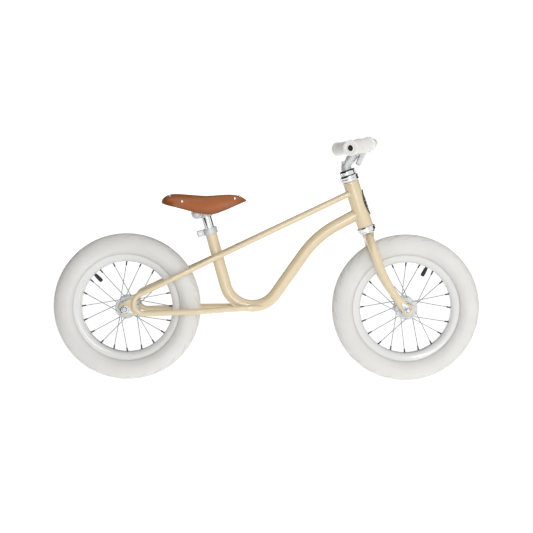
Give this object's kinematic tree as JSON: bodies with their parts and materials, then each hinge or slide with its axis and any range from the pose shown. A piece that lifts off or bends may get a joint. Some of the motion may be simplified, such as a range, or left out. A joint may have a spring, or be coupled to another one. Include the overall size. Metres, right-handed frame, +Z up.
{
  "type": "balance bike",
  "caption": "Child's balance bike with a bent one-tube frame, paired stays, spoked pneumatic wheels, quill stem, swept bar and padded saddle.",
  "frame": {"origin": "on the ground, midway between the axles, on the middle plane", "axes": "+X forward, +Y to the rider's left, +Z up"},
  "size_m": [0.9204, 0.4146, 0.5245],
  "materials": {
    "frame_paint": "gloss cream paint",
    "chrome": "polished",
    "zinc_steel": "zinc plated",
    "badge": "dark enamel with a bright edge",
    "tyre_rubber": "matt white rubber",
    "black_rubber": "matt",
    "rim_finish": "gloss light grey",
    "grip_rubber": "soft satin white",
    "saddle_leather": "grained tan",
    "saddle_plastic": "moulded"
  },
  "bodies": {
    "frame": {"main_tube": "frame_paint", "head_tube": "frame_paint", "head_badge": "badge", "left_stay": "frame_paint", "right_stay": "frame_paint", "left_dropout": "frame_paint", "right_dropout": "frame_paint", "lower_headset_cup": "chrome", "lower_ball_ring": "zinc_steel", "upper_headset_cup": "chrome", "upper_ball_ring": "zinc_steel", "seat_collar": "chrome", "seat_collar_bolt": "zinc_steel", "rear_axle": "zinc_steel", "left_rear_tab_washer": "zinc_steel", "left_rear_axle_nut": "zinc_steel", "left_rear_cone": "zinc_steel", "right_rear_tab_washer": "zinc_steel", "right_rear_axle_nut": "zinc_steel", "right_rear_cone": "zinc_steel"},
    "fork": {"fork": "frame_paint", "crown_race": "chrome", "adjusting_race": "chrome", "headset_locknut": "chrome", "front_axle": "zinc_steel", "left_front_tab_washer": "zinc_steel", "left_front_axle_nut": "zinc_steel", "left_front_cone": "zinc_steel", "right_front_tab_washer": "zinc_steel", "right_front_axle_nut": "zinc_steel", "right_front_cone": "zinc_steel"},
    "front_wheel": {"front_tyre": "tyre_rubber", "front_inner_tube": "black_rubber", "front_valve_cap": "black_rubber", "front_rim": "rim_finish", "front_hub_and_spokes": "chrome", "left_front_ball_ring": "zinc_steel", "right_front_ball_ring": "zinc_steel"},
    "rear_wheel": {"rear_tyre": "tyre_rubber", "rear_inner_tube": "black_rubber", "rear_valve_cap": "black_rubber", "rear_rim": "rim_finish", "rear_hub_and_spokes": "chrome", "left_rear_ball_ring": "zinc_steel", "right_rear_ball_ring": "zinc_steel"},
    "stem": {"stem": "chrome", "expander_wedge": "zinc_steel", "expander_bolt": "zinc_steel", "stem_clamp_bolt": "zinc_steel"},
    "handlebar": {"handlebar": "frame_paint", "left_grip": "grip_rubber", "right_grip": "grip_rubber"},
    "seat_post": {"seat_post": "chrome", "saddle_clamp": "zinc_steel", "saddle_clamp_bolt": "zinc_steel"},
    "saddle": {"saddle_cover": "saddle_leather", "saddle_base": "saddle_plastic", "saddle_rails": "chrome", "left_clamp_disc": "zinc_steel", "right_clamp_disc": "zinc_steel"}
  },
  "joints": [
    {"name": "steering", "type": "hinge", "parent": "frame", "child": "fork", "pos_m": [0.21289, 0, 0.33425], "axis": [-0.3272, 0, 0.9449], "continuous": true},
    {"name": "front_wheel_spin", "type": "hinge", "parent": "fork", "child": "front_wheel", "pos_m": [0.3012, 0, 0.159], "axis": [0, 1, 0], "continuous": true},
    {"name": "rear_wheel_spin", "type": "hinge", "parent": "frame", "child": "rear_wheel", "pos_m": [-0.3012, 0, 0.159], "axis": [0, 1, 0], "continuous": true},
    {"name": "stem_height", "type": "slide", "parent": "fork", "child": "stem", "axis": [-0.3272, 0, 0.9449], "range_m": [-0.004, 0.03]},
    {"name": "handlebar_roll", "type": "hinge", "parent": "stem", "child": "handlebar", "pos_m": [0.19763, 0, 0.49966], "axis": [0, 1, 0], "range_deg": [-45, 45]},
    {"name": "seat_height", "type": "slide", "parent": "frame", "child": "seat_post", "axis": [-0.2693, 0, 0.9631], "range_m": [-0.023, 0.04]},
    {"name": "saddle_tilt", "type": "hinge", "parent": "seat_post", "child": "saddle", "pos_m": [-0.14907, 0, 0.36171], "axis": [0, 1, 0], "range_deg": [-12, 12]}
  ]
}
